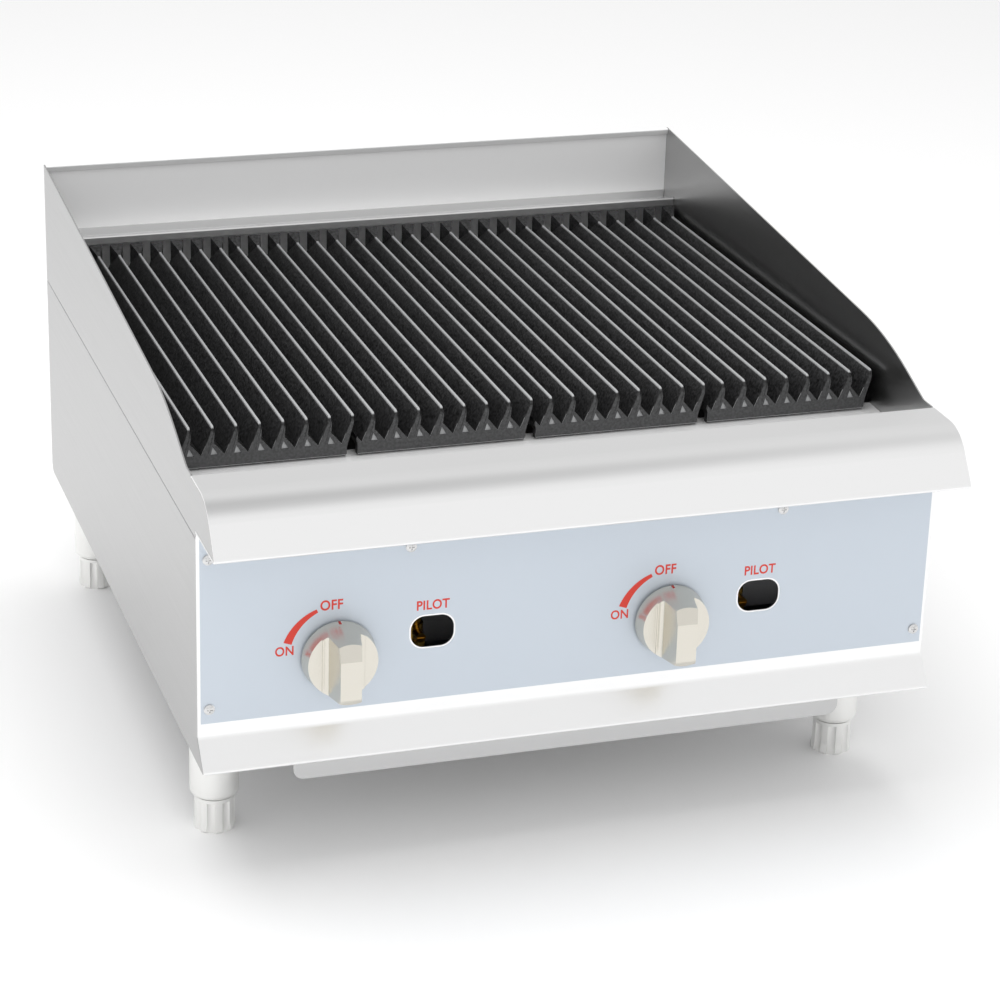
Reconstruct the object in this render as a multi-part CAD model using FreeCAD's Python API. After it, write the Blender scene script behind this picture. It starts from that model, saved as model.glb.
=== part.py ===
"""Countertop gas charbroiler: stainless body, four cast grates, two U-tube burners."""
import math
import os

import FreeCAD
import Part

# The model is drawn with X = 0 at mid width, Y = 0 at the control panel's face, growing to the
# rear, and Z = 0 at the floor.  Every node is then moved so that Y = 0 is mid depth.

# Body
body_width = 610.0
body_depth = 627.0
body_height = 300.5
floor_gap = 103.0
seam_rise = 189.8
sheet = 1.2
fit_gap = 0.3
seam_bevel = 0.7
seam_flange = 4.5
seam_flange_front = 144.0
base_flange = 12.0

seam_height = floor_gap + seam_rise
overall_height = floor_gap + body_height
side_x = body_width / 2
inner_x = side_x - sheet
rear_inside = body_depth - sheet

# Front ledge
ledge_sheet = 1.5
ledge_rise = 46.0
ledge_back = 16.5
ledge_reach = 63.0
ledge_lip_rise = 5.0
ledge_nose_radius = 37.0
ledge_nose_back = 33.8
bend_radius = 2.2

ledge_height = seam_height + ledge_rise
ledge_lip_height = seam_height + ledge_lip_rise

# Splash guards and the back splash
guard_fall_deg = 3.9
guard_sweep_deg = 20.5
guard_sweep_radius = 330.0
guard_toe_radius = 14.0
guard_toe_back = 33.0
splash_hem_depth = 5.0
splash_hem_drop = 6.0

# Rear shelf strip
shelf_depth = 29.8
shelf_front_rise = 49.0
shelf_rear_rise = 40.6
shelf_lip = 8.0
shelf_sheet = 1.5

shelf_front = body_depth - shelf_depth
shelf_front_height = seam_height + shelf_front_rise
shelf_rear_height = seam_height + shelf_rear_rise

# Control panel
flare_rise = 23.3
flare_reach = 21.3
lip_return = 11.0
panel_side_return = 2.2
film_thickness = 0.25
film_rise = 35.2
film_side_margin = 2.4
film_hole_margin = 1.3
window_width = 35.0
window_height = 26.5
window_corner = 11.0
window_rise = 11.6
control_rise = 81.6

panel_top = ledge_lip_height
flare_start = floor_gap + flare_rise
film_bottom = floor_gap + film_rise
control_height = floor_gap + control_rise
window_centre_height = control_height + window_rise

# Grate rests and the firebox
front_rest_rise = 7.7
front_rest_back = 132.0
front_rest_flange = 15.0
rear_rest_depth = 50.0
rear_rest_drop = 8.0
liner_rear_gap = 26.0
liner_side_gap = 21.0
liner_slope = 62.0
liner_drop = 2.8
liner_knee_rise = 5.4
liner_foot_rise = 9.0

front_rest_height = seam_height + front_rest_rise
rear_rest_front = body_depth - rear_rest_depth
liner_front = front_rest_back
liner_rear = body_depth - liner_rear_gap
liner_side = side_x - liner_side_gap
liner_top = seam_height - liner_drop
liner_knee = control_height + liner_knee_rise
liner_foot_side = liner_side - liner_slope
liner_foot = floor_gap + liner_foot_rise

# Radiants
radiant_half_width = 48.0
radiant_rise = 48.0
radiant_height = 49.4
radiant_wall = 4.0
radiant_end_gap = 4.0
radiant_side_gap = 41.7
radiant_rest = 16.0

radiant_base = control_height + radiant_rise
radiant_apex = radiant_base + radiant_height

# Burners: a knob stands in front of each burner's inlet leg
burner_leg_spacing = 115.0
window_offset = 18.5
burner_tube = 32.0
burner_wall = 1.6
burner_front = 96.0
burner_bend_gap = 96.0
burner_return_gap = 33.0
port_diameter = 2.6
port_pitch = 14.0
bell_diameter = 44.0
bell_length = 14.0

burner_axis = liner_side - radiant_side_gap - radiant_half_width - burner_leg_spacing / 2
burner_bend_back = liner_rear - burner_bend_gap
burner_return_front = liner_front + burner_return_gap
burner_axes = {"left": -burner_axis, "right": burner_axis}

# Knobs
knob_base_radius = 29.8
knob_front_radius = 24.6
knob_back = 3.0
knob_front = 40.0
knob_face = 16.5
knob_grip_width = 16.5
knob_grip_root = 25.0
knob_lug_width = 4.5
knob_lug_rise = 1.4
knob_bevel_height = 15.0
knob_bevel_depth = 4.0

# Valves and the gas pipe
stem_diameter = 8.0
stem_gap = 0.08
stem_flat = 1.6
stem_hole_gap = 2.0
valve_front = 26.0
valve_back = 66.0
valve_width = 24.0
valve_rise = 34.6
manifold_back = 46.0
pipe_diameter = 26.7
pipe_bore = 21.0
pipe_side_gap = 32.0
pipe_bend = 40.0
inlet_stub = 26.0

manifold_height = control_height - valve_rise
pipe_side = side_x - pipe_side_gap

# Grates
grate_count = 4
bar_count = 8
section_step = 16.64
grate_side_gap = 5.93
grate_front = 114.5
grate_rear_gap = 1.6
grate_height = 33.8
grate_fall_deg = 0.95
grate_lift_gap = 0.15
bar_tip_width = 1.8
bar_lean = 10.2
valley_height = 11.3
bar_underside = 5.0
wing_reach = 7.4
first_wing_reach = 4.2
wing_rise = 8.6
wing_thickness = 2.2
end_plate = 9.0
pocket_width = 5.8
pocket_rise = 6.6
pocket_depth = 1.2
rear_plate = 6.0
bar_nose_radius = 8.0
head_length = 16.0
head_width = 12.0
head_rise = 6.2
cross_rib = 6.0
cross_rib_height = 8.0

grate_length = shelf_front - grate_rear_gap - grate_front
grate_row = 2 * (inner_x - grate_side_gap) - bar_lean - first_wing_reach - bar_tip_width / 2
grate_spacing = (grate_row + section_step) / grate_count
bar_pitch = (grate_spacing - section_step) / (bar_count - 1)

# Legs and feet
leg_inset = 32.7
leg_front = 89.0
leg_rear_inset = 42.0
leg_diameter = 40.0
leg_bottom = 30.5
leg_plate = 52.0
foot_diameter = 33.0
foot_base_diameter = 35.0
foot_flutes = 8
foot_stud = 12.0
foot_stud_length = 45.0
foot_stud_gap = 0.1
foot_gap = 0.4

leg_side = side_x - leg_inset
leg_rear = body_depth - leg_rear_inset

# Drip tray and its runners
runner_lug = 9.0
runner_leg_gap = 0.8
runner_gap = 0.5
runner_front = 22.0
runner_stop_gap = 1.8
tray_front = -5.0
tray_face_overlap = 6.5
tray_rear_gap = 76.0
tray_rim_drop = 3.6
tray_height = 16.4
tray_rim = 12.0

tray_half = leg_side - leg_plate / 2 - runner_leg_gap - runner_lug - runner_gap - tray_rim
tray_face_half = tray_half + tray_face_overlap
tray_length = body_depth - tray_rear_gap - tray_front
tray_rim_height = floor_gap - tray_rim_drop
tray_bottom = tray_rim_height - tray_height

# Panel screws
screw_head = 8.4
screw_height = 2.4
screw_shank = 4.0
screw_clearance = 0.1
screw_edge_gap = 9.0
screw_low_rise = 47.3
screw_high_rise = 172.6
screw_ledge_rise = 166.6

middle_y = (body_depth + inlet_stub - ledge_reach) / 2
sides = {"left": -1, "right": 1}


def vec(x, y, z):
    return FreeCAD.Vector(x, y, z)


def box(x0, x1, y0, y1, z0, z1):
    return Part.makeBox(x1 - x0, y1 - y0, z1 - z0, vec(x0, y0, z0))


def rod(radius, start, end):
    """A round bar from one point to another."""
    along = end.sub(start)
    return Part.makeCylinder(radius, along.Length, start, along)


def cone(r0, r1, start, end):
    along = end.sub(start)
    return Part.makeCone(r0, r1, along.Length, start, along)


def offset_path(path, distance):
    """The path moved to its left by a distance; each point is (u, v, bend radius)."""
    moved = []
    for i, (u, v, radius) in enumerate(path):
        steps = []
        for a, b in ((i - 1, i), (i, i + 1)):
            if a < 0 or b >= len(path):
                continue
            du = path[b][0] - path[a][0]
            dv = path[b][1] - path[a][1]
            run = math.hypot(du, dv)
            steps.append((du / run, dv / run))
        first = steps[0]
        last = steps[-1]
        turn = first[0] * last[1] - first[1] * last[0]
        share = distance / (1 + first[0] * last[0] + first[1] * last[1])
        nu = -(first[1] + last[1]) * share
        nv = (first[0] + last[0]) * share
        change = -distance if turn > 0 else distance
        moved.append((u + nu, v + nv, max(radius + change, 0.0) if radius else 0.0))
    return moved


def path_edges(path, place):
    """Lines and tangent arcs along a path."""
    edges = []
    points = [place(u, v) for u, v, _ in path]
    last = points[0]
    for i in range(1, len(points)):
        corner = points[i]
        radius = path[i][2]
        if i == len(points) - 1 or radius <= 0:
            edges.append(Part.LineSegment(last, corner).toShape())
            last = corner
            continue
        back = points[i - 1].sub(corner).normalize()
        ahead = points[i + 1].sub(corner).normalize()
        half = back.getAngle(ahead) / 2
        reach = radius / math.tan(half)
        start = corner + back * reach
        end = corner + ahead * reach
        inward = (back + ahead).normalize()
        middle = corner + inward * (radius / math.sin(half) - radius)
        if start.distanceToPoint(last) > 1e-6:
            edges.append(Part.LineSegment(last, start).toShape())
        edges.append(Part.Arc(start, middle, end).toShape())
        last = end
    return edges


def bent_sheet(path, thickness, place, along):
    """A folded sheet: the path is its outer face and the thickness lies to the path's left."""
    inner = offset_path(path, thickness)
    edges = path_edges(path, place)
    edges.append(Part.LineSegment(place(*path[-1][:2]), place(*inner[-1][:2])).toShape())
    edges += path_edges(inner[::-1], place)
    edges.append(Part.LineSegment(place(*inner[0][:2]), place(*path[0][:2])).toShape())
    return Part.Face(Part.Wire(Part.__sortEdges__(edges))).extrude(along)


def outline_solid(path, place, along):
    """A plate with the outline that the closed path gives."""
    edges = path_edges(path + [path[0][:2] + (0.0,)], place)
    return Part.Face(Part.Wire(Part.__sortEdges__(edges))).extrude(along)


def across(x0):
    """Places a (Y, Z) outline at one X."""
    return lambda u, v: vec(x0, u, v)


def lengthways(y0):
    """Places an (X, Z) outline at one Y."""
    return lambda u, v: vec(u, y0, v)


def flat(z0):
    """Places an (X, Y) outline at one Z."""
    return lambda u, v: vec(u, v, z0)


def sheet_across(path, thickness, half):
    return bent_sheet(path, thickness, across(-half), vec(2 * half, 0, 0))


def fuse(shapes):
    whole = shapes[0].fuse(shapes[1:]) if len(shapes) > 1 else shapes[0]
    return whole.removeSplitter()


def save(name, shape):
    """Moves a finished node to the stored origin and writes it."""
    stored = shape.copy()
    stored.translate(vec(0, -middle_y, 0))
    stored.exportStep("parts/" + name + ".step")


def mirror_side(shape, side):
    """The left-hand shape, or its mirror image on the right."""
    if side < 0:
        return shape
    return shape.mirror(vec(0, 0, 0), vec(1, 0, 0))


def ledge_path():
    """Outer face of the ledge, from the rear flange's foot over the nose to the lip's return."""
    return [(ledge_back, front_rest_height - 10, 0.0), (ledge_back, ledge_height, bend_radius),
            (-ledge_nose_back, ledge_height, ledge_nose_radius),
            (-ledge_reach, ledge_lip_height, bend_radius), (ledge_back - 4, ledge_lip_height, 0.0)]


def make_ledge():
    whole = sheet_across(ledge_path(), ledge_sheet, side_x)
    low = ledge_height - ledge_sheet
    for side in sides.values():
        edge = side * (side_x - sheet - fit_gap)
        outer = side * side_x
        slot = box(min(edge, outer), max(edge, outer), panel_side_return, ledge_back + 1,
                   0, low - fit_gap)
        whole = whole.cut(slot)
    return whole


def guard_outline():
    """Side view of a splash guard: inside the ledge at the front, sweeping up to the rear."""
    inner = offset_path(ledge_path(), ledge_sheet + fit_gap)
    seat = inner[1][1]
    fall = math.tan(math.radians(guard_fall_deg))
    toe = math.tan(math.radians(guard_sweep_deg))
    toe_back = guard_toe_back
    knee = (ledge_height - overall_height + body_depth * fall - toe_back * toe) / (fall - toe)
    knee_height = overall_height - (body_depth - knee) * fall
    riser = ledge_back + fit_gap
    lip_back, lip_height, _ = inner[3]
    step = panel_side_return + fit_gap
    return [(body_depth, seam_height, 0.0), (body_depth, overall_height, 0.0),
            (knee, knee_height, guard_sweep_radius), (toe_back, ledge_height, guard_toe_radius),
            (riser, ledge_height, 0.0), (riser, seat, 0.0), inner[2], (lip_back, lip_height, 0.0),
            (step, lip_height, 0.0), (step, seam_height, 0.0)]


def make_guard():
    place = across(-side_x)
    plate = outline_solid(guard_outline(), place, vec(sheet, 0, 0))
    flange = box(-inner_x, -inner_x + seam_flange, seam_flange_front, rear_inside - base_flange,
                 seam_height, seam_height + sheet)
    return bevel_seam(fuse([plate, flange]), seam_height)


def bevel_seam(shape, height):
    """Breaks the outer edge along the seam, which leaves a fine groove between two sheets."""
    groove = Part.makePolygon([vec(-side_x - 1, 0, height - seam_bevel - 1),
                               vec(-side_x - 1, 0, height + seam_bevel + 1),
                               vec(-side_x + seam_bevel, 0, height),
                               vec(-side_x - 1, 0, height - seam_bevel - 1)])
    cutter = Part.Face(groove).extrude(vec(0, body_depth + 2 * ledge_reach, 0))
    cutter.translate(vec(0, -ledge_reach - 5, 0))
    return shape.cut(cutter)


def make_side_panel():
    back = panel_side_return + fit_gap
    lean = back * math.tan(math.atan2(flare_reach, flare_start - floor_gap) / 2)
    path = [(back, seam_height, 0.0), (body_depth, seam_height, 0.0),
            (body_depth, floor_gap, 9.0), (back - flare_reach, floor_gap, 1.5),
            (back, flare_start - lean, 4.0)]
    plate = outline_solid(path, across(-side_x), vec(sheet, 0, 0))
    top = box(-inner_x, -inner_x + seam_flange, seam_flange_front, rear_inside - base_flange,
              seam_height - sheet, seam_height)
    foot = box(-inner_x, -inner_x + base_flange, base_flange, rear_inside - base_flange,
               floor_gap, floor_gap + sheet)
    return bevel_seam(fuse([plate, top, foot]), seam_height)


def make_back_splash():
    path = [(body_depth, seam_height, 0.0), (body_depth, overall_height, 1.6),
            (body_depth - splash_hem_depth, overall_height, 1.6),
            (body_depth - 2 * sheet - 0.8, overall_height - splash_hem_drop, 0.0)]
    return sheet_across(path, sheet, inner_x)


def make_rear_panel():
    plate = box(-inner_x, inner_x, rear_inside, body_depth, floor_gap, seam_height)
    cuts = [rod(pipe_diameter / 2 + 2, vec(pipe_side, rear_inside - 1, manifold_height),
                vec(pipe_side, body_depth + 1, manifold_height))]
    slot_length = 70.0
    slot_height = 6.0
    for row in range(4):
        z = seam_height - 36 - 16 * row
        for column in range(5):
            x = (column - 2) * 100.0
            cuts.append(box(x - slot_length / 2, x + slot_length / 2, rear_inside - 1,
                            body_depth + 1, z, z + slot_height))
    foot = box(-inner_x + base_flange, inner_x - base_flange, rear_inside - base_flange,
               rear_inside, floor_gap, floor_gap + sheet)
    return fuse([plate.cut(cuts), foot])


def make_rear_shelf():
    back = rear_inside - shelf_sheet
    path = [(shelf_front, shelf_front_height - shelf_lip, 0.0), (shelf_front, shelf_front_height, 1.8),
            (back, shelf_rear_height, 0.6), (back, shelf_rear_height + 8, 0.0)]
    return sheet_across(path, -shelf_sheet, inner_x - fit_gap)


def panel_path():
    """Face of the control panel, from its top return down to the flared lip's return."""
    return [(14.0, panel_top, 0.0), (0.0, panel_top, bend_radius),
            (0.0, flare_start, 4.0), (-flare_reach, floor_gap, 1.8),
            (-flare_reach + lip_return, floor_gap, 0.0)]


def knob_x(axis):
    return axis - burner_leg_spacing / 2


def window_x(axis):
    return axis + window_offset


def window_cutter(x, margin):
    """An opening with well rounded corners, through the panel."""
    w = window_width / 2 + margin
    h = window_height / 2 + margin
    r = window_corner + margin
    z = window_centre_height
    path = [(x, z - h, 0.0), (x + w, z - h, r), (x + w, z + h, r), (x - w, z + h, r),
            (x - w, z - h, r)]
    return outline_solid(path, lengthways(-5), vec(0, 10, 0))


def screw_places():
    """Panel screws: one in each corner and two under the ledge."""
    low = floor_gap + screw_low_rise
    high = floor_gap + screw_high_rise
    middle = floor_gap + screw_ledge_rise
    edge = side_x - screw_edge_gap
    return [(-edge, low), (edge, low), (-edge, high), (edge, high), (burner_axes["left"], middle),
            (burner_axes["right"] + window_offset + 2 * screw_head, middle)]


def make_control_panel():
    face = sheet_across(panel_path(), sheet, side_x)
    returns = []
    for side in sides.values():
        inner = side * inner_x
        outer = side * side_x
        returns.append(box(min(inner, outer), max(inner, outer), sheet, panel_side_return,
                           flare_start, panel_top - sheet - bend_radius))
    cuts = []
    for axis in burner_axes.values():
        x = knob_x(axis)
        cuts.append(rod(stem_diameter / 2 + stem_hole_gap, vec(x, -1, control_height), vec(x, 4, control_height)))
        cuts.append(window_cutter(window_x(axis), 0))
    for x, z in screw_places():
        cuts.append(rod(screw_shank / 2 + screw_clearance, vec(x, -1, z), vec(x, 4, z)))
    for side in sides.values():
        inner = side * (inner_x - fit_gap)
        outer = side * (side_x + 1)
        cuts.append(box(min(inner, outer), max(inner, outer), panel_side_return, 15,
                        panel_top - 5, panel_top + 1))
        cuts.append(box(min(inner, outer), max(inner, outer), 2 - flare_reach, 0,
                        floor_gap - 1, floor_gap + sheet + 0.4))
    return fuse([face.cut(cuts)] + returns)


def make_panel_film():
    """The protective film on the panel's flat face, cut clear of every hole."""
    half = side_x - film_side_margin
    film = box(-half, half, -film_thickness, 0, film_bottom, panel_top - bend_radius)
    cuts = []
    for axis in burner_axes.values():
        x = knob_x(axis)
        hole = stem_diameter / 2 + stem_hole_gap + film_hole_margin
        cuts.append(rod(hole, vec(x, -1, control_height), vec(x, 1, control_height)))
        cuts.append(window_cutter(window_x(axis), film_hole_margin))
    for x, z in screw_places():
        cuts.append(rod(screw_head / 2 + 0.2, vec(x, -1, z), vec(x, 1, z)))
    return film.cut(cuts)


def make_screw(x, z):
    """A pan-head screw with a cross recess, seen from the front."""
    head = Part.makeSphere(screw_head, vec(x, -screw_height + screw_head, z))
    blank = rod(screw_head / 2, vec(x, -screw_height, z), vec(x, 0, z))
    body = head.common(blank)
    shank = rod(screw_shank / 2, vec(x, 0, z), vec(x, 10, z))
    cross = []
    for long_x, long_z in ((2.2, 0.45), (0.45, 2.2)):
        cross.append(box(x - long_x, x + long_x, -screw_height - 1, -screw_height + 1.4,
                         z - long_z, z + long_z))
    return fuse([body, shank]).cut(cross)


def make_panel_screws():
    return Part.makeCompound([make_screw(x, z) for x, z in screw_places()])


def make_base_frame():
    """The bottom pan with its opening over the drip tray and a turned-up rim round it."""
    edge = inner_x - base_flange - fit_gap
    front = panel_side_return + sheet + base_flange
    rear = rear_inside - base_flange - fit_gap
    plate = box(-edge, edge, front, rear, floor_gap, floor_gap + sheet)
    hole_half = liner_foot_side - 8
    hole_front = liner_front + 4
    hole_rear = rear_rest_front - 8
    rim = box(-hole_half - sheet, hole_half + sheet, hole_front - sheet, hole_rear + sheet,
              floor_gap, floor_gap + 8)
    hole = box(-hole_half, hole_half, hole_front, hole_rear, floor_gap - 1, floor_gap + 9)
    return fuse([plate, rim]).cut(hole)


def make_front_rest():
    """The shelf behind the ledge that carries the front of the grates."""
    front = ledge_back
    path = [(front_rest_back, front_rest_height - front_rest_flange, 0.0),
            (front_rest_back, front_rest_height, 1.6), (front, front_rest_height, 1.6),
            (front, front_rest_height - 10, 0.0)]
    return sheet_across(path, sheet, inner_x - fit_gap)


def grate_rear_height():
    run = grate_front + grate_length - front_rest_back
    return front_rest_height + grate_lift_gap - run * math.tan(math.radians(grate_fall_deg))


def make_rear_rest():
    top = grate_rear_height() - grate_lift_gap
    path = [(liner_rear, top, 0.0), (rear_rest_front, top, 1.6),
            (rear_rest_front, top - rear_rest_drop, 0.0)]
    shelf = sheet_across(path, sheet, liner_side - fit_gap)
    return shelf


def make_side_liner():
    """Left liner: hung from the side panel, straight down, then sloped in towards the tray."""
    path = [(-inner_x, liner_top, 0.0), (-liner_side, liner_top, 2.0), (-liner_side, liner_knee, 4.0),
            (-liner_foot_side, liner_foot, 0.0)]
    length = liner_rear + sheet - liner_front
    return bent_sheet(path, -sheet, lengthways(liner_front), vec(0, length, 0))


def liner_outline(top):
    half = liner_side - fit_gap
    foot = liner_foot_side - fit_gap
    return [(-foot, liner_foot, 0.0), (foot, liner_foot, 0.0), (half, liner_knee, 0.0),
            (half, top, 0.0), (-half, top, 0.0), (-half, liner_knee, 0.0)]


def make_front_liner():
    plate = outline_solid(liner_outline(liner_top), lengthways(liner_front), vec(0, sheet, 0))
    cuts = []
    for axis in burner_axes.values():
        x = knob_x(axis)
        cuts.append(rod(burner_tube / 2 + 0.5, vec(x, liner_front - 1, control_height),
                        vec(x, liner_front + 4, control_height)))
        x = window_x(axis)
        cuts.append(rod(4.0, vec(x, liner_front - 1, control_height + 20),
                        vec(x, liner_front + 4, control_height + 20)))
    return plate.cut(cuts)


def make_rear_liner():
    top = grate_rear_height() - grate_lift_gap
    return outline_solid(liner_outline(top), lengthways(liner_rear), vec(0, sheet, 0))


def make_radiant(x):
    """A cast tent over one burner leg, with a row of slots down each slope."""
    front = liner_front + sheet + radiant_end_gap
    rear = liner_rear - radiant_end_gap
    wall = radiant_wall
    path = [(x - radiant_half_width, radiant_base + 12, 0.0), (x, radiant_apex, 5.0),
            (x + radiant_half_width, radiant_base + 12, 0.0)]
    tent = bent_sheet(path, -wall, lengthways(front), vec(0, rear - front, 0))
    edge_low = radiant_base
    edge_high = radiant_base + 14
    skirts = [box(x - radiant_half_width, x - radiant_half_width + wall, front, rear, edge_low, edge_high),
              box(x + radiant_half_width - wall, x + radiant_half_width, front, rear, edge_low, edge_high)]
    slots = []
    count = 9
    step = (rear - front) / count
    for i in range(count):
        y = front + step * (i + 0.5)
        slots.append(box(x - 36, x - 14, y - 4, y + 4, radiant_base, radiant_apex + 5))
        slots.append(box(x + 14, x + 36, y - 4, y + 4, radiant_base, radiant_apex + 5))
    return fuse([tent] + skirts).cut(slots)


def make_radiant_rest(rear):
    """An angle along the firebox wall that the radiants sit on."""
    if rear:
        path = [(liner_rear, radiant_base - 14, 0.0), (liner_rear, radiant_base, 1.6),
                (liner_rear - radiant_rest, radiant_base, 0.0)]
        return sheet_across(path, sheet, liner_side - 4)
    start = liner_front + sheet
    path = [(start + radiant_rest, radiant_base, 0.0), (start, radiant_base, 1.6),
            (start, radiant_base - 14, 0.0)]
    return sheet_across(path, sheet, liner_side - 4)


def u_tube(radius, x_in, x_out, front, back, out_front, z):
    """A U-shaped round bar lying flat, the bend at the rear."""
    bend = (x_out - x_in) / 2
    centre = vec((x_in + x_out) / 2, back, z)
    legs = [rod(radius, vec(x_in, front, z), vec(x_in, back, z)),
            rod(radius, vec(x_out, out_front, z), vec(x_out, back, z))]
    section = Part.Face(Part.Wire(Part.makeCircle(radius, vec(x_in, back, z), vec(0, 1, 0))))
    curve = section.revolve(centre, vec(0, 0, -1), 180)
    return legs[0].fuse([legs[1], curve])


def make_burner(axis):
    """A U-tube burner: bell mouth, inlet leg, rear bend and a closed return leg, drilled on top."""
    x_in = axis - burner_leg_spacing / 2
    x_out = axis + burner_leg_spacing / 2
    z = control_height
    outer_r = burner_tube / 2
    inner_r = outer_r - burner_wall
    outer = u_tube(outer_r, x_in, x_out, burner_front, burner_bend_back, burner_return_front, z)
    mouth = vec(x_in, burner_front - bell_length, z)
    neck = vec(x_in, burner_front + 10, z)
    outer = outer.fuse([cone(bell_diameter / 2 - 2, outer_r, vec(x_in, burner_front, z), neck),
                        rod(bell_diameter / 2 - 2, mouth, vec(x_in, burner_front, z))])
    bore = u_tube(inner_r, x_in, x_out, burner_front, burner_bend_back,
                  burner_return_front + burner_wall, z)
    bell_bore = bell_diameter / 2 - 2 - burner_wall
    bore = bore.fuse([cone(bell_bore, inner_r, vec(x_in, burner_front, z), neck),
                      rod(bell_bore, mouth.sub(vec(0, 1, 0)), vec(x_in, burner_front, z))])
    ports = []
    count = int((burner_bend_back - burner_return_front - 20) / port_pitch)
    for x in (x_in, x_out):
        for i in range(count):
            y = burner_return_front + 16 + port_pitch * i
            ports.append(rod(port_diameter / 2, vec(x, y, z + inner_r - 2), vec(x, y, z + outer_r + 1)))
    return outer.cut(bore).removeSplitter().cut(ports)


def make_burner_rest():
    """The bracket on the rear liner under both burner bends."""
    top = control_height - burner_tube / 2
    reach = 52.0
    path = [(liner_rear, top - 16, 0.0), (liner_rear, top, 1.6),
            (liner_rear - reach, top, 0.0)]
    return sheet_across(path, sheet, liner_foot_side - 4)


def make_air_shutter(axis):
    """A rotating cap over the burner's bell, with three air windows in its face."""
    x = knob_x(axis)
    z = control_height
    bell_r = bell_diameter / 2 - 2
    mouth = burner_front - bell_length
    face = mouth - fit_gap - sheet
    rim_r = bell_r + fit_gap + sheet
    cap = rod(rim_r, vec(x, face, z), vec(x, mouth + 10, z))
    hollow = rod(bell_r + fit_gap, vec(x, mouth - fit_gap, z), vec(x, mouth + 11, z))
    cuts = [hollow, rod(7.5, vec(x, face - 1, z), vec(x, mouth, z))]
    for i in range(3):
        window = box(x - 3.5, x + 3.5, face - 1, mouth, z + 9.5, z + 17.5)
        window.rotate(vec(x, 0, z), vec(0, 1, 0), 120 * i)
        cuts.append(window)
    return cap.cut(cuts)


def make_valve(axis):
    """Valve body: forward bonnet round the stem, a foot into the manifold, an outlet to the rear."""
    x = knob_x(axis)
    z = control_height
    half = valve_width / 2
    body = box(x - half, x + half, valve_front + 8, valve_back - 10, z - 14, z + 13)
    bonnet = rod(10.0, vec(x, valve_front, z), vec(x, valve_front + 8, z))
    foot = rod(8.0, vec(x, manifold_back, manifold_height + pipe_diameter / 2 - 2),
               vec(x, manifold_back, z - 14))
    outlet = rod(7.0, vec(x, valve_back - 10, z), vec(x, valve_back, z))
    bore = rod(stem_diameter / 2 + stem_gap, vec(x, valve_front - 1, z), vec(x, valve_front + 22, z))
    return fuse([body, bonnet, foot, outlet]).cut(bore)


def make_orifice(axis):
    """The brass hood that feeds gas into the burner's bell."""
    x = knob_x(axis)
    z = control_height
    tip = burner_front - bell_length + 2
    hexagon = []
    for i in range(6):
        angle = math.radians(60 * i)
        hexagon.append((x + 7.5 * math.cos(angle), z + 7.5 * math.sin(angle), 0.0))
    nut = outline_solid(hexagon, lengthways(valve_back), vec(0, 8, 0))
    spud = cone(5.5, 3.2, vec(x, valve_back + 8, z), vec(x, tip, z))
    jet = rod(1.0, vec(x, valve_back - 1, z), vec(x, tip + 1, z))
    return fuse([nut, spud]).cut(jet)


def make_stem(axis):
    """The D-shaped valve stem that the knob pushes onto."""
    x = knob_x(axis)
    z = control_height
    inner_end = valve_front + 21
    stem = rod(stem_diameter / 2, vec(x, -knob_face + 3, z), vec(x, inner_end, z))
    flat_cut = box(x - 10, x + 10, -knob_face, 6, z + stem_diameter / 2 - stem_flat, z + 10)
    return stem.cut(flat_cut)


def make_knob(axis):
    """A tapered metal knob: a full-width grip with a recessed crescent face at each side."""
    x = knob_x(axis)
    z = control_height
    body = cone(knob_base_radius, knob_front_radius, vec(x, -knob_back, z), vec(x, -knob_front, z))
    top = z + knob_base_radius + 2
    bottom = z - knob_base_radius - 2
    cuts = []
    for side in sides.values():
        root = x + side * knob_grip_root / 2
        lug = x + side * (knob_grip_root / 2 + knob_lug_width)
        face = x + side * knob_grip_width / 2
        far = x + side * (knob_base_radius + 2)
        path = [(face, -knob_front - 1, 0.0), (root, -knob_face - knob_lug_rise, 3.0),
                (lug, -knob_face - knob_lug_rise, 0.6), (lug, -knob_face, 0.6), (far, -knob_face, 0.0),
                (far, -knob_front - 1, 0.0)]
        cuts.append(outline_solid(path, flat(bottom), vec(0, 0, top - bottom)))
    edge = z + knob_front_radius + 2
    bevel = [(-knob_front - 1, edge - knob_bevel_height - 1, 0.0),
             (-knob_front, edge - knob_bevel_height, 0.0),
             (-knob_front + knob_bevel_depth, edge, 0.0), (-knob_front - 1, edge, 0.0)]
    cuts.append(outline_solid(bevel, across(x - 20), vec(40, 0, 0)))
    low = z - knob_front_radius - 2
    heel = [(-knob_front - 1, low + 7, 0.0), (-knob_front, low + 6, 0.0),
            (-knob_front + 2.5, low, 0.0), (-knob_front - 1, low, 0.0)]
    cuts.append(outline_solid(heel, across(x - 20), vec(40, 0, 0)))
    solid = body.cut(cuts)
    hollow = rod(knob_base_radius - 3, vec(x, 0, z), vec(x, -knob_face + 4.5, z))
    boss = rod(9.0, vec(x, -knob_back, z), vec(x, -knob_face + 4, z))
    socket = rod(stem_diameter / 2, vec(x, 0, z), vec(x, -knob_face + 3, z))
    key = box(x - 10, x + 10, -knob_face, 6, z + stem_diameter / 2 - stem_flat, z + 10)
    return fuse([solid.cut(hollow), boss]).cut(socket.cut(key)).removeSplitter()


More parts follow.
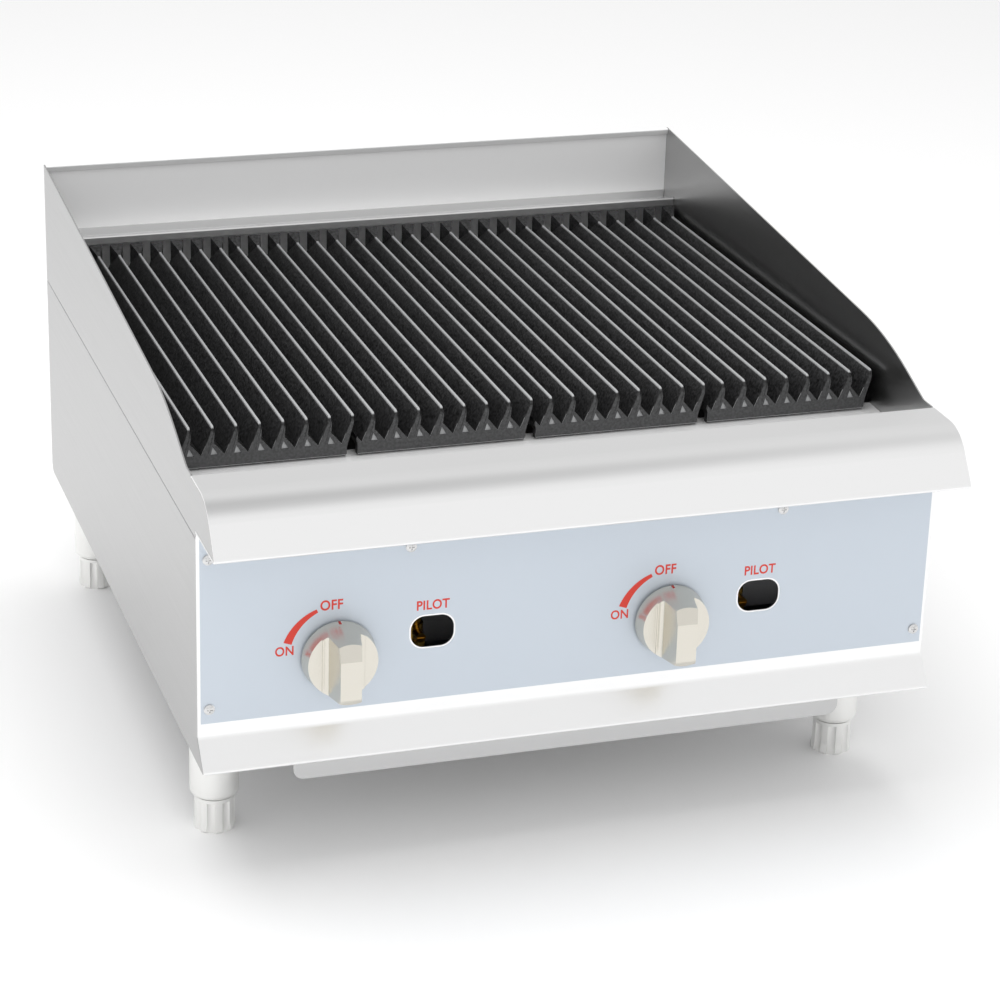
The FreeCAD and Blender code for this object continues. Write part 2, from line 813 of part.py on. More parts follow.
def make_manifold():
    """Gas pipe: in at the rear, forward along the right side, elbow, then across behind the panel."""
    r = pipe_diameter / 2
    inner = pipe_bore / 2
    z = manifold_height
    bend = pipe_bend
    left_end = knob_x(burner_axes["left"]) - 26
    corner = vec(pipe_side - bend, manifold_back + bend, z)

    def run(radius, grow):
        section = Part.Face(Part.Wire(Part.makeCircle(radius, vec(pipe_side, manifold_back + bend, z),
                                                      vec(0, 1, 0))))
        elbow = section.revolve(corner, vec(0, 0, -1), 90)
        return rod(radius, vec(pipe_side, body_depth + inlet_stub + grow, z),
                   vec(pipe_side, manifold_back + bend, z)).fuse(
            [elbow, rod(radius, vec(pipe_side - bend, manifold_back, z), vec(left_end, manifold_back, z))])

    pipe = run(r, 0).removeSplitter().cut(run(inner, 1))
    cap = rod(r, vec(left_end, manifold_back, z), vec(left_end - 5, manifold_back, z))
    seats = []
    for axis in burner_axes.values():
        for x, radius in ((knob_x(axis), 8.0), (window_x(axis), 5.0)):
            seats.append(rod(radius, vec(x, manifold_back, z + inner - 1), vec(x, manifold_back, z + r + 2)))
    return fuse([pipe, cap]).cut(seats)


def make_pilot_valve(axis):
    """A small brass valve on the manifold, its adjusting screw facing the panel window."""
    x = window_x(axis)
    y = manifold_back
    low = manifold_height + pipe_diameter / 2
    foot = rod(5.0, vec(x, y, manifold_height + pipe_bore / 2 - 1), vec(x, y, low + 4))
    hexagon = []
    for i in range(6):
        angle = math.radians(60 * i + 30)
        hexagon.append((x + 8.0 * math.cos(angle), y + 8.0 * math.sin(angle), 0.0))
    nut = outline_solid(hexagon, flat(low + 0.2), vec(0, 0, 6))
    body = rod(6.0, vec(x, y, low + 6), vec(x, y, low + 20))
    screw = rod(4.0, vec(x, y, low + 13), vec(x, y - 16, low + 13))
    slot = box(x - 3, x + 3, y - 17, y - 15, low + 12.5, low + 13.5)
    cap = rod(4.6, vec(x, y, low + 20), vec(x, y, low + 24))
    return fuse([foot, nut, body, screw, cap]).cut(slot)


def pilot_tube_path(axis):
    x = window_x(axis)
    top = manifold_height + pipe_diameter / 2 + 24
    high = control_height + 20
    return [vec(x, manifold_back, top), vec(x, manifold_back, high), vec(x, liner_front + 18, high)]


def make_pilot_tube(axis):
    """Thin tube from the pilot valve, up, back through the firebox wall."""
    start, corner, end = pilot_tube_path(axis)
    bend = 5.0
    rise_end = corner.sub(vec(0, 0, bend))
    run_start = corner.add(vec(0, bend, 0))
    middle = corner.add(vec(0, bend * (1 - math.cos(math.pi / 4)), -bend * (1 - math.sin(math.pi / 4))))
    edges = [Part.LineSegment(start, rise_end).toShape(), Part.Arc(rise_end, middle, run_start).toShape(),
             Part.LineSegment(run_start, end).toShape()]
    path = Part.Wire(edges)
    section = Part.Wire(Part.makeCircle(2.4, start, vec(0, 0, 1)))
    return path.makePipeShell([section], True, False)


def make_pilot_burner(axis):
    """The pilot head inside the firebox, beside the burner's inlet leg."""
    x = window_x(axis)
    y = liner_front + 18
    z = control_height + 20
    head = rod(5.0, vec(x, y, z), vec(x, y + 22, z))
    hood = box(x - 8, x + 8, y + 22, y + 24, z - 5, z + 12)
    return fuse([head, hood]).cut(rod(1.5, vec(x, y + 14, z), vec(x, y + 14, z + 8)))


def bar_profile(x, reach):
    """Section of one grate bar: a leaning fin, its valley and the short wing to the left."""
    tip = bar_tip_width / 2
    root = -bar_lean + 4.8
    slope = wing_rise / wing_reach
    end_x = -bar_lean - reach
    end_z = valley_height + slope * reach
    under = wing_thickness * math.sqrt(1 + slope * slope)
    low_x = -bar_lean - (under - (valley_height - bar_underside)) / slope
    if low_x < end_x:
        low_x = end_x
    points = [(-tip, grate_height), (-bar_lean, valley_height), (end_x, end_z),
              (end_x, end_z - under), (-bar_lean - 1.6, bar_underside), (-bar_lean + 3.2, bar_underside),
              (root, valley_height), (tip, grate_height)]
    return [(x + u, v, 0.0) for u, v in points]


def make_grate(index):
    """One cast grate: leaning bars, a toothed front plate, a rear plate and two ribs below."""
    first_tip = grate_first_tip() + index * grate_spacing
    solids = []
    tips = [first_tip + i * bar_pitch for i in range(bar_count)]
    length = grate_length
    for i, x in enumerate(tips):
        reach = wing_reach if i else first_wing_reach
        solids.append(outline_solid(bar_profile(x, reach), lengthways(0), vec(0, length, 0)))
        solids.append(make_bar_head(x))
        if i:
            solids.append(make_front_web(tips[i - 1], x))
    left = tips[0] - bar_lean - first_wing_reach + 1.0
    right = tips[-1] - bar_lean + 4.0
    plate = [(0.0, 0.0, 5.0), (0.0, valley_height, 0.0), (end_plate, valley_height, 0.0),
             (end_plate, 0.0, 1.0)]
    solids.append(outline_solid([(end_plate / 2, 0.0, 0.0)] + plate, across(left), vec(right - left, 0, 0)))
    rear_left = tips[0] - bar_lean + fit_gap
    solids.append(box(rear_left, right, length - rear_plate, length, 0, valley_height + 6))
    for share in (1, 2):
        y = length * share / 3
        solids.append(box(left + 3, right - 1, y - cross_rib / 2, y + cross_rib / 2, 0.5, cross_rib_height))
    grate = fuse(solids)
    corner = [(-1.0, grate_height + 1, 0.0), (-1.0, grate_height - bar_nose_radius, 0.0),
              (0.0, grate_height - bar_nose_radius, 0.0), (0.0, grate_height, bar_nose_radius),
              (bar_nose_radius + 1, grate_height, 0.0), (bar_nose_radius + 1, grate_height + 1, 0.0)]
    nose = outline_solid(corner, across(left - 40), vec(right - left + 80, 0, 0))
    clear_of_head = box(left - 2, tips[0] - bar_lean, length - head_length - 2, length + 1,
                        0, valley_height + wing_rise)
    grate = grate.cut([nose, clear_of_head])
    grate.translate(vec(0, grate_front, front_rest_height + grate_lift_gap))
    pivot = vec(0, front_rest_back, front_rest_height + grate_lift_gap)
    grate.rotate(pivot, vec(1, 0, 0), -grate_fall_deg)
    return grate


def grate_first_tip():
    """The row of grates is centred between the guards."""
    span = (grate_count - 1) * grate_spacing + (bar_count - 1) * bar_pitch
    left_part = bar_lean + first_wing_reach
    right_part = bar_tip_width / 2
    return (left_part - right_part - span) / 2


def make_bar_head(x):
    """The rough wedge at the rear end of a bar: it widens and rises towards the rear."""
    start = grate_length - head_length
    tip = bar_tip_width / 2
    half = head_width / 2
    plan = [(x - tip, start, 0.0), (x + tip, start, 0.0), (x + half, grate_length, 0.0),
            (x - half, grate_length, 0.0)]
    low = valley_height + wing_rise + 2
    wedge = outline_solid(plan, flat(low), vec(0, 0, grate_height + head_rise - low))
    side = [(start, low, 0.0), (grate_length, low, 0.0), (grate_length, grate_height + head_rise, 0.0),
            (start, grate_height, 0.0)]
    ramp = outline_solid(side, across(x - half), vec(2 * half, 0, 0))
    return wedge.common(ramp)


def make_front_web(previous, x):
    """Closes the front of the heat slot between two bars, with a shallow pocket under the wing."""
    foot = previous - bar_lean + 4.8
    shoulder = x - bar_lean - wing_reach
    top_z = valley_height + wing_rise
    points = [(previous + bar_tip_width / 2, grate_height - 1.5), (previous - 0.2, top_z + 1.5),
              (shoulder + 0.6, top_z - 0.6), (x - bar_lean - 2, valley_height - 0.5),
              (foot, valley_height - 0.5)]
    web = outline_solid([(u, v, 0.0) for u, v in points], lengthways(0), vec(0, end_plate, 0))
    low = valley_height + 0.6
    triangle = [(previous - pocket_width / 2, low), (previous + pocket_width / 2, low),
                (previous - 1.1, low + pocket_rise)]
    pocket = outline_solid([(u, v, 0.0) for u, v in triangle], lengthways(-1),
                           vec(0, 1 + pocket_depth, 0))
    return web.cut(pocket)


def make_leg(x, y):
    """A cast leg socket: mounting plate, smooth barrel, rounded foot end and a threaded bore."""
    r = leg_diameter / 2
    barrel = rod(r, vec(x, y, leg_bottom), vec(x, y, floor_gap))
    rim = [edge for edge in barrel.Edges
           if abs(edge.BoundBox.ZMax - leg_bottom) < 0.01 and edge.BoundBox.XLength > r]
    barrel = barrel.makeFillet(5.0, rim)
    half = leg_plate / 2
    plate = box(x - half, x + half, y - half, y + half, floor_gap - 3, floor_gap)
    bore = rod(foot_stud / 2 + foot_stud_gap, vec(x, y, leg_bottom - 1),
               vec(x, y, leg_bottom + foot_stud_length + 2))
    return fuse([barrel, plate]).cut(bore)


def make_foot(x, y):
    """A fluted screw foot with its stud."""
    top = leg_bottom - foot_gap
    base = foot_base_diameter / 2
    waist = foot_diameter / 2
    body = cone(base, waist, vec(x, y, 0), vec(x, y, 9)).fuse(rod(waist, vec(x, y, 9), vec(x, y, top)))
    rim = [edge for edge in body.Edges if edge.BoundBox.ZMax < 0.01]
    body = body.makeFillet(2.5, rim)
    flutes = []
    for i in range(foot_flutes):
        angle = 2 * math.pi * (i + 0.5) / foot_flutes
        reach = waist + 2.6
        flute_x = x + reach * math.cos(angle)
        flute_y = y + reach * math.sin(angle)
        flutes.append(rod(4.6, vec(flute_x, flute_y, -1), vec(flute_x, flute_y, top - 3)))
    stud = rod(foot_stud / 2, vec(x, y, top - 1), vec(x, y, top + foot_stud_length))
    return fuse([body.cut(flutes), stud])


def make_tray():
    """The pull-out pan: open top, side rims that ride on the runners, a full-width front face."""
    back = tray_front + tray_length
    floor_z = tray_bottom + 1.0
    pan = box(-tray_half, tray_half, tray_front + sheet, back, floor_z, tray_rim_height)
    hollow = box(-tray_half + sheet, tray_half - sheet, tray_front + 2 * sheet, back - sheet,
                 floor_z + sheet, tray_rim_height + 1)
    rims = []
    for side in sides.values():
        inner = side * (tray_half - sheet)
        outer = side * (tray_half + tray_rim)
        rims.append(box(min(inner, outer), max(inner, outer), tray_front + 20, back,
                        tray_rim_height - sheet, tray_rim_height))
    face_top = floor_gap - 1.5
    face = [(0.0, tray_bottom, 0.0), (tray_face_half, tray_bottom, 9.0), (tray_face_half, face_top, 0.0),
            (-tray_face_half, face_top, 0.0), (-tray_face_half, tray_bottom, 9.0)]
    front = outline_solid(face, lengthways(tray_front), vec(0, sheet, 0))
    return fuse([pan.cut(hollow), front] + rims)


def make_runner():
    """Left runner: an angle under the base that carries one rim of the tray."""
    web_x = -(tray_half + tray_rim + runner_gap)
    leg_top = tray_rim_height - sheet - runner_gap
    rear = tray_front + tray_length + runner_stop_gap + sheet
    reach = web_x + tray_rim - 3
    web = box(web_x - sheet, web_x, runner_front, rear, leg_top - sheet, floor_gap)
    leg = box(web_x, reach, runner_front, rear, leg_top - sheet, leg_top)
    lug = box(web_x - runner_lug, web_x, runner_front, rear, floor_gap - sheet, floor_gap)
    stop = box(web_x, reach, rear - sheet, rear, leg_top, floor_gap)
    return fuse([web, leg, lug, stop])


def main():
    os.makedirs("parts", exist_ok=True)
    save("front_ledge", make_ledge())
    save("control_panel", make_control_panel())
    save("panel_film", make_panel_film())
    save("panel_screws", make_panel_screws())
    save("back_splash", make_back_splash())
    save("rear_panel", make_rear_panel())
    save("rear_shelf", make_rear_shelf())
    save("base_frame", make_base_frame())
    save("grate_rest_front", make_front_rest())
    save("grate_rest_rear", make_rear_rest())
    save("firebox_front", make_front_liner())
    save("firebox_rear", make_rear_liner())
    save("radiant_rest_front", make_radiant_rest(False))
    save("radiant_rest_rear", make_radiant_rest(True))
    save("burner_rest", make_burner_rest())
    save("gas_manifold", make_manifold())
    save("drip_tray", make_tray())
    for name, side in sides.items():
        save("side_panel_" + name, mirror_side(make_side_panel(), side))
        save("splash_guard_" + name, mirror_side(make_guard(), side))
        save("firebox_" + name, mirror_side(make_side_liner(), side))
        save("tray_runner_" + name, mirror_side(make_runner(), side))
        for end, y in (("front", leg_front), ("rear", leg_rear)):
            save("leg_" + end + "_" + name, make_leg(side * leg_side, y))
            save("foot_" + end + "_" + name, make_foot(side * leg_side, y))
    for name, axis in burner_axes.items():
        save("burner_" + name, make_burner(axis))
        save("air_shutter_" + name, make_air_shutter(axis))
        save("valve_" + name, make_valve(axis))
        save("valve_stem_" + name, make_stem(axis))
        save("orifice_" + name, make_orifice(axis))
        save("knob_" + name, make_knob(axis))
        save("pilot_valve_" + name, make_pilot_valve(axis))
        save("pilot_tube_" + name, make_pilot_tube(axis))
        save("pilot_burner_" + name, make_pilot_burner(axis))
        for leg, x in (("inlet", -burner_leg_spacing / 2), ("return", burner_leg_spacing / 2)):
            save("radiant_" + name + "_" + leg, make_radiant(axis + x))
    for index in range(grate_count):
        save("grate_" + str(index + 1), make_grate(index))


main()
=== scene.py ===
from math import cos, pi, radians, sin, tan

import bpy
from mathutils import Euler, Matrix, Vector


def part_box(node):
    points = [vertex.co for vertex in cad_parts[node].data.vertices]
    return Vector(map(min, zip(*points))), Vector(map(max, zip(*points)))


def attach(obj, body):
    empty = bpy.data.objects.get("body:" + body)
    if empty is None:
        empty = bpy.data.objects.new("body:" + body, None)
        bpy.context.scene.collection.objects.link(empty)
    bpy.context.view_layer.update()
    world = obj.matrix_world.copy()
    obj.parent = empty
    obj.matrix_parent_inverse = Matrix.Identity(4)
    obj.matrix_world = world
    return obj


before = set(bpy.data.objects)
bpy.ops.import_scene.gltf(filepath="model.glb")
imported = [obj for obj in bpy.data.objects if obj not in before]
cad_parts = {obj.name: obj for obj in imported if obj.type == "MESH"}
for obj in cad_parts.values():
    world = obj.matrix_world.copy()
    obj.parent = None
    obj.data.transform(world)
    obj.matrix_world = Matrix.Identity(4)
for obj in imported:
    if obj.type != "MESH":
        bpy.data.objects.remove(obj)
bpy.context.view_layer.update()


# ---- Outer sheet metal -------------------------------------------------------------------
# Side panels, splash guards, back splash, ledge and panel: 1.2 to 1.5 mm stainless sheet,
# folded and spot welded.  Rolled with a fine straight grain that runs along each sheet.

MM = 0.001


def linear(hex_colour):
    """A colour written as sRGB hex, as linear values for a shader."""
    channels = [int(hex_colour[i:i + 2], 16) / 255 for i in (1, 3, 5)]
    return [c / 12.92 if c <= 0.04045 else ((c + 0.055) / 1.055) ** 2.4 for c in channels] + [1.0]


def add_node(tree, kind, inputs=None, **settings):
    """Adds a node, applies its settings, then sets or links each named input."""
    node = tree.nodes.new(kind)
    for name, value in settings.items():
        setattr(node, name, value)
    for name, value in (inputs or {}).items():
        if isinstance(value, bpy.types.NodeSocket):
            tree.links.new(value, node.inputs[name])
        else:
            node.inputs[name].default_value = value
    return node


def start_material(name):
    """A material that holds nothing yet but its output."""
    material = bpy.data.materials.new(name)
    material.use_nodes = True
    tree = material.node_tree
    tree.nodes.clear()
    return material, tree, add_node(tree, "ShaderNodeOutputMaterial")


def brushed_steel(name, colour, roughness, along, metallic=1.0):
    """Stainless sheet with its grain along X, Y or Z.  The real grain is far finer than this:
    it is drawn 1.4 mm wide and 160 mm long so that it shows."""
    grain_width = 1.4 * MM
    grain_length = 160 * MM
    grain_depth = 0.01 * MM
    grain_strength = 0.06
    shallow, deep = 0.3, 0.7
    roughness_spread = 0.015
    material, tree, output = start_material(name)
    place = add_node(tree, "ShaderNodeTexCoord").outputs["Object"]
    stretch = [1 / grain_width] * 3
    stretch["XYZ".index(along)] = 1 / grain_length
    grain_place = add_node(tree, "ShaderNodeMapping", {"Vector": place, "Scale": stretch})
    grain = add_node(tree, "ShaderNodeTexNoise",
                     {"Vector": grain_place.outputs["Vector"], "Scale": 1.0, "Detail": 2.0})
    shade = add_node(tree, "ShaderNodeMapRange",
                     {"Value": grain.outputs["Fac"], "From Min": shallow, "From Max": deep,
                      "To Min": roughness - roughness_spread,
                      "To Max": roughness + roughness_spread})
    relief = add_node(tree, "ShaderNodeBump",
                      {"Height": grain.outputs["Fac"], "Strength": grain_strength,
                       "Distance": grain_depth})
    steel = add_node(tree, "ShaderNodeBsdfPrincipled",
                     {"Base Color": linear(colour), "Metallic": metallic,
                      "Roughness": shade.outputs["Result"], "Normal": relief.outputs["Normal"]})
    tree.links.new(steel.outputs["BSDF"], output.inputs["Surface"])
    return material


def coat(material, *names):
    """Gives CAD nodes their finish."""
    for name in names:
        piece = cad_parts[name]
        if not piece.material_slots:
            piece.data.materials.append(material)
        for slot in piece.material_slots:
            slot.material = material


coat(brushed_steel("stainless_sheet_grain_across", "#F2F2F2", 0.29, "X"), "front_ledge")
coat(brushed_steel("stainless_panel_grain_across", "#F4F4F4", 0.3, "X"), "control_panel")
# Painted shade: the side panels and splash guards are the same stainless as the ledge and panel,
# coloured darker (#B6B6B6) because their faces take less light.
coat(brushed_steel("stainless_sheet_grain_lengthways_painted_shade", "#B6B6B6", 0.3, "Y"),
     "side_panel_left", "side_panel_right", "splash_guard_left", "splash_guard_right")
coat(brushed_steel("dull_rolled_stainless", "#FAFAFA", 0.5, "X", metallic=0.4),
     "back_splash", "grate_rest_front", "rear_panel")
coat(brushed_steel("shelf_stainless", "#DEDEDE", 0.36, "X"), "rear_shelf")


# ---- Panel film --------------------------------------------------------------------------
# The blue-grey polyethylene film that protects the panel's face until the unit is in use.
# It is a thin smooth sheet stuck flat on the steel, so it shows a soft even sheen.

def plain(name, colour, roughness, metallic=0.0, specular=0.5):
    """A smooth even finish."""
    material, tree, output = start_material(name)
    surface = add_node(tree, "ShaderNodeBsdfPrincipled",
                       {"Base Color": linear(colour), "Metallic": metallic,
                        "Roughness": roughness, "Specular IOR Level": specular})
    tree.links.new(surface.outputs["BSDF"], output.inputs["Surface"])
    return material


coat(plain("polyethylene_film_over_steel", "#C9D1DA", 0.5, metallic=0.5), "panel_film")


# ---- Printed dial marks ------------------------------------------------------------------
# Red screen print round each knob and over each window: the words, and an arc that widens
# from off to on.  The ink is a skin 0.05 mm thick that stands just clear of the film.

ink_height = 0.05 * MM
ink = plain("red_screen_ink", "#D23A2C", 0.5)
film_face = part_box("panel_film")[0].y
ink_y = film_face - ink_height


def print_word(text, letter_height, middle_x, middle_z):
    """One printed word, upright on the panel's face, centred on a point."""
    cap_share = 0.729
    narrowing = 0.88
    spacing = 1.05
    stroke_gain = 0.03
    bpy.ops.object.select_all(action="DESELECT")
    bpy.ops.object.text_add(location=(0, 0, 0))
    word = bpy.context.object
    word.data.body = text
    word.data.align_x = "CENTER"
    word.data.align_y = "CENTER"
    word.data.size = letter_height / cap_share
    word.data.space_character = spacing
    word.data.offset = stroke_gain * letter_height
    word.data.extrude = ink_height / 2
    bpy.ops.object.convert(target="MESH")
    word.location = (middle_x, ink_y, middle_z)
    word.rotation_euler = (pi / 2, 0, 0)
    word.scale = (narrowing, 1, 1)
    bpy.ops.object.transform_apply(location=True, rotation=True, scale=True)
    return word


def print_arc(centre_x, centre_z):
    """The arc that widens from a blunt point, beside OFF, to its full width, beside ON."""
    middle_radius = 42.5 * MM
    full_width = 6.8 * MM
    first_step_share = 0.05
    start_angle = radians(160.5)
    end_angle = radians(113)
    steps = 20
    blunt_end = 9
    narrowing_per_step = 0.7
    close = 0.01 * MM
    bpy.ops.object.select_all(action="DESELECT")
    bpy.ops.mesh.primitive_plane_add(size=full_width, location=(0, 0, 0))
    arc = bpy.context.object
    arc.scale = (1, first_step_share, 1)
    arc.location = (centre_x + middle_radius, ink_y, centre_z)
    arc.rotation_euler = (pi / 2, 0, 0)
    bpy.ops.object.transform_apply(location=True, rotation=True, scale=True)
    centre = Vector((centre_x, ink_y, centre_z))
    bpy.ops.object.mode_set(mode="EDIT")
    bpy.ops.mesh.select_mode(type="VERT")
    bpy.ops.mesh.select_all(action="SELECT")
    bpy.ops.transform.rotate(value=start_angle, orient_axis="Y", center_override=centre)
    bpy.ops.object.mode_set(mode="OBJECT")
    # Only the plane's lower edge stays selected, for the extrusions to start from.
    backwards = Vector((cos(start_angle + pi / 2), 0, sin(start_angle + pi / 2)))
    lowest = min(vertex.co.dot(backwards) for vertex in arc.data.vertices)
    arc.data.polygons[0].select = False
    for edge in arc.data.edges:
        edge.select = False
    for vertex in arc.data.vertices:
        vertex.select = vertex.co.dot(backwards) < lowest + close
    turn = (start_angle - end_angle) / steps
    bpy.ops.object.mode_set(mode="EDIT")
    for step in range(steps):
        bpy.ops.mesh.extrude_region_move()
        bpy.ops.transform.rotate(value=-turn, orient_axis="Y", center_override=centre)
        angle = start_angle - turn * (step + 1)
        middle = centre + Vector((middle_radius * cos(angle), 0, middle_radius * sin(angle)))
        steps_left = steps - step + blunt_end
        share = (steps_left - narrowing_per_step) / steps_left
        bpy.ops.transform.resize(value=(share, share, share), center_override=middle)
    bpy.ops.mesh.select_all(action="SELECT")
    bpy.ops.mesh.extrude_region_move(TRANSFORM_OT_translate={"value": (0, -ink_height, 0)})
    bpy.ops.mesh.select_all(action="SELECT")
    bpy.ops.mesh.normals_make_consistent(inside=False)
    bpy.ops.object.mode_set(mode="OBJECT")
    return arc


off_height, off_across, off_up = 8.4 * MM, -5.3 * MM, 42.6 * MM
on_height, on_across, on_up = 7.812 * MM, -42.4 * MM, 7.6 * MM
pilot_height, pilot_up = 8.064 * MM, 33.8 * MM
for side in ("left", "right"):
    knob_low, knob_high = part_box("knob_" + side)
    valve_low, valve_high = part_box("pilot_valve_" + side)
    knob_x = (knob_low.x + knob_high.x) / 2
    knob_z = (knob_low.z + knob_high.z) / 2
    window_x = (valve_low.x + valve_high.x) / 2
    prints = [print_word("OFF", off_height, knob_x + off_across, knob_z + off_up),
              print_word("ON", on_height, knob_x + on_across, knob_z + on_up),
              print_word("PILOT", pilot_height, window_x, knob_z + pilot_up),
              print_arc(knob_x, knob_z)]
    bpy.ops.object.select_all(action="DESELECT")
    for mark in prints:
        mark.select_set(True)
    bpy.context.view_layer.objects.active = prints[0]
    bpy.ops.object.join()
    marks = bpy.context.object
    marks.name = "dial_marks_" + side
    marks.data.materials.clear()
    marks.data.materials.append(ink)
    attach(marks, "housing")


# ---- Knobs and stems ---------------------------------------------------------------------
# Die-cast zinc knobs plated in satin nickel, warm in colour, pushed onto brass valve stems.
# A short red stripe on the rim, in line with the grip, points at the printed marks.

def satin_nickel(name, stripe_x, stripe_z, back_y):
    """Satin nickel with the red index mark painted across the top of the skirt's back rim."""
    stripe_half = 1.1 * MM
    stripe_start = 25.5 * MM
    stripe_length = 4.5 * MM
    nickel, red_paint = "#D8D4CA", "#A92F26"
    material, tree, output = start_material(name)
    place = add_node(tree, "ShaderNodeTexCoord").outputs["Object"]
    parts = add_node(tree, "ShaderNodeSeparateXYZ", {"Vector": place})
    across = add_node(tree, "ShaderNodeMath", {0: parts.outputs["X"], 1: stripe_x},
                      operation="SUBTRACT")
    distance = add_node(tree, "ShaderNodeMath", {0: across.outputs[0]}, operation="ABSOLUTE")
    narrow = add_node(tree, "ShaderNodeMath", {0: distance.outputs[0], 1: stripe_half},
                      operation="LESS_THAN")
    high = add_node(tree, "ShaderNodeMath",
                    {0: parts.outputs["Z"], 1: stripe_z + stripe_start},
                    operation="GREATER_THAN")
    near_back = add_node(tree, "ShaderNodeMath",
                         {0: parts.outputs["Y"], 1: back_y - stripe_length},
                         operation="GREATER_THAN")
    on_rim = add_node(tree, "ShaderNodeMath", {0: high.outputs[0], 1: near_back.outputs[0]},
                      operation="MULTIPLY")
    stripe = add_node(tree, "ShaderNodeMath", {0: narrow.outputs[0], 1: on_rim.outputs[0]},
                      operation="MULTIPLY")
    colour = add_node(tree, "ShaderNodeMix", {"Factor": stripe.outputs[0]}, data_type="RGBA")
    colour.inputs["A"].default_value = linear(nickel)
    colour.inputs["B"].default_value = linear(red_paint)
    bare = add_node(tree, "ShaderNodeMath", {0: 1.0, 1: stripe.outputs[0]},
                    operation="SUBTRACT")
    metal = add_node(tree, "ShaderNodeBsdfPrincipled",
                     {"Base Color": colour.outputs["Result"], "Metallic": bare.outputs[0],
                      "Roughness": 0.27})
    tree.links.new(metal.outputs["BSDF"], output.inputs["Surface"])
    return material


for side in ("left", "right"):
    knob_low, knob_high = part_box("knob_" + side)
    coat(satin_nickel("satin_nickel_knob_" + side, (knob_low.x + knob_high.x) / 2,
                      (knob_low.z + knob_high.z) / 2, knob_high.y), "knob_" + side)


# ---- Brass gas fittings ------------------------------------------------------------------
# Forged and turned brass: valves, stems, orifice hoods and the small pilot valves that show
# through the panel's windows.

brass = plain("turned_brass", "#C9A24E", 0.28, metallic=1.0)
for side in ("left", "right"):
    coat(brass, "valve_" + side, "valve_stem_" + side, "orifice_" + side,
         "pilot_valve_" + side)


# ---- Panel screws ------------------------------------------------------------------------
# Pan-head screws in bright zinc-plated steel, driven through the face of the panel into the
# body's flanges.

coat(plain("zinc_plated_steel", "#D8D8D8", 0.22, metallic=1.0), "panel_screws")
